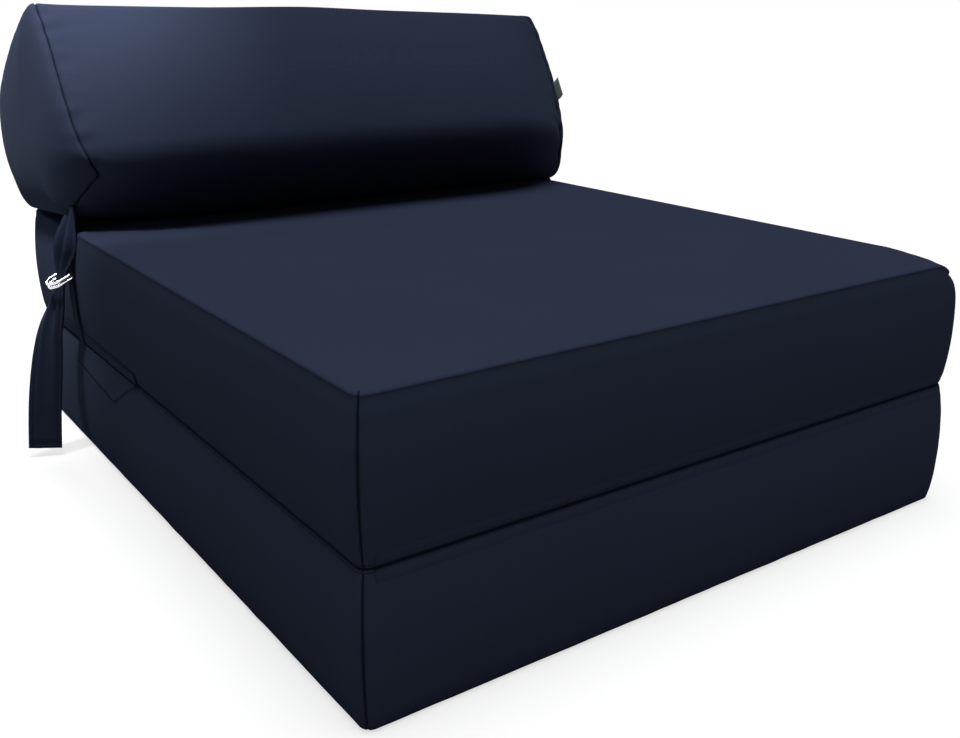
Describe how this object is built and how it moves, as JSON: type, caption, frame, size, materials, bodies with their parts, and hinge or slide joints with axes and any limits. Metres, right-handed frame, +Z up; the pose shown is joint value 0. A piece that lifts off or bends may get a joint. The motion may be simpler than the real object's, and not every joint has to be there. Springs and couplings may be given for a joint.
{
  "type": "folding chair bed",
  "caption": "Folding chair bed: two navy fabric foam slabs hinged by cloth at the front, with a strapped-on bolster.",
  "frame": {"origin": "on the floor under the middle of the folded slabs, on the lower slab's floor face", "axes": "+X to the right seen from the front, +Y from the front edge to the rear, +Z up"},
  "size_m": [0.9506, 1.0762, 0.5856],
  "materials": {
    "navy_cover_fabric": "satin",
    "navy_webbing": "matte",
    "navy_zip_tape": "matte",
    "foam": "matte",
    "polyester_filling": "matte",
    "navy_nylon_coil": "satin",
    "zinc_slider": "satin",
    "plated_wire": "polished",
    "blank_label_fabric": "satin"
  },
  "bodies": {
    "upper_slab": {"upper_foam_core": "foam", "upper_seat_panel": "navy_cover_fabric", "upper_boxing": "navy_cover_fabric", "upper_underside_panel": "navy_cover_fabric", "upper_zip_tape": "navy_zip_tape", "upper_zip_coil": "navy_nylon_coil", "zip_placket": "navy_cover_fabric", "hinge_strip_upper_half": "navy_cover_fabric", "left_ring_strap": "navy_webbing", "right_ring_strap": "navy_webbing"},
    "lower_slab": {"lower_foam_core": "foam", "lower_inner_panel": "navy_cover_fabric", "lower_boxing": "navy_cover_fabric", "lower_floor_panel": "navy_cover_fabric", "lower_zip_tape": "navy_zip_tape", "lower_zip_coil": "navy_nylon_coil", "lower_side_patch": "navy_cover_fabric", "hinge_strip_lower_half": "navy_cover_fabric"},
    "bolster": {"bolster_filling": "polyester_filling", "bolster_cover": "navy_cover_fabric", "bolster_left_end_panel": "navy_cover_fabric", "bolster_right_end_panel": "navy_cover_fabric", "bolster_zip_tape": "navy_zip_tape", "bolster_zip_coil": "navy_nylon_coil", "blank_label": "blank_label_fabric", "left_tie_strap": "navy_cover_fabric", "right_tie_strap": "navy_cover_fabric"},
    "left_inner_ring": {"left_inner_d_ring": "plated_wire"},
    "left_outer_ring": {"left_outer_d_ring": "plated_wire"},
    "right_inner_ring": {"right_inner_d_ring": "plated_wire"},
    "right_outer_ring": {"right_outer_d_ring": "plated_wire"},
    "upper_slider": {"upper_zip_slider": "zinc_slider"},
    "upper_pull": {"upper_zip_pull": "zinc_slider"},
    "lower_slider": {"lower_zip_slider": "zinc_slider"},
    "lower_pull": {"lower_zip_pull": "zinc_slider"},
    "bolster_slider": {"bolster_zip_slider": "zinc_slider"},
    "bolster_pull": {"bolster_zip_pull": "zinc_slider"}
  },
  "joints": [
    {"name": "fold", "type": "hinge", "parent": "upper_slab", "child": "lower_slab", "pos_m": [0, -0.5085, 0.15015], "axis": [-1, 0, 0], "range_deg": [0, 180]},
    {"name": "bolster_lift", "type": "slide", "parent": "upper_slab", "child": "bolster", "axis": [0, 0, 1], "range_m": [0, 0.32], "deforming": ["left_tie_strap", "right_tie_strap"]},
    {"name": "left_inner_ring_swing", "type": "hinge", "parent": "upper_slab", "child": "left_inner_ring", "pos_m": [-0.413, 0.252, 0.2493], "axis": [0, 1, 0], "range_deg": [-10, 40]},
    {"name": "left_outer_ring_swing", "type": "hinge", "parent": "upper_slab", "child": "left_outer_ring", "pos_m": [-0.4108, 0.252, 0.24459], "axis": [0, 1, 0], "range_deg": [-10, 40]},
    {"name": "right_inner_ring_swing", "type": "hinge", "parent": "upper_slab", "child": "right_inner_ring", "pos_m": [0.413, 0.252, 0.2493], "axis": [0, -1, 0], "range_deg": [-10, 40]},
    {"name": "right_outer_ring_swing", "type": "hinge", "parent": "upper_slab", "child": "right_outer_ring", "pos_m": [0.4108, 0.252, 0.24459], "axis": [0, -1, 0], "range_deg": [-10, 40]},
    {"name": "upper_zip_travel", "type": "slide", "parent": "upper_slab", "child": "upper_slider", "axis": [-1, 0, 0], "range_m": [0, 0.53]},
    {"name": "upper_pull_turn", "type": "hinge", "parent": "upper_slider", "child": "upper_pull", "pos_m": [0.25375, 0.51205, 0.2253], "axis": [0, 0, 1], "range_deg": [0, 170]},
    {"name": "lower_zip_travel", "type": "slide", "parent": "lower_slab", "child": "lower_slider", "axis": [-1, 0, 0], "range_m": [0, 0.53]},
    {"name": "lower_pull_turn", "type": "hinge", "parent": "lower_slider", "child": "lower_pull", "pos_m": [0.25375, 0.51205, 0.075], "axis": [0, 0, 1], "range_deg": [0, 170]},
    {"name": "bolster_zip_travel", "type": "slide", "parent": "bolster", "child": "bolster_slider", "axis": [-1, 0, 0], "range_m": [0, 0.53]},
    {"name": "bolster_pull_turn", "type": "hinge", "parent": "bolster_slider", "child": "bolster_pull", "pos_m": [0.25375, 0.567, 0.4134], "axis": [0, 0, 1], "range_deg": [0, 170]}
  ],
  "couplings": [
    {"joint": "left_outer_ring_swing", "follows": "left_inner_ring_swing", "ratio": 1},
    {"joint": "right_outer_ring_swing", "follows": "right_inner_ring_swing", "ratio": 1}
  ]
}
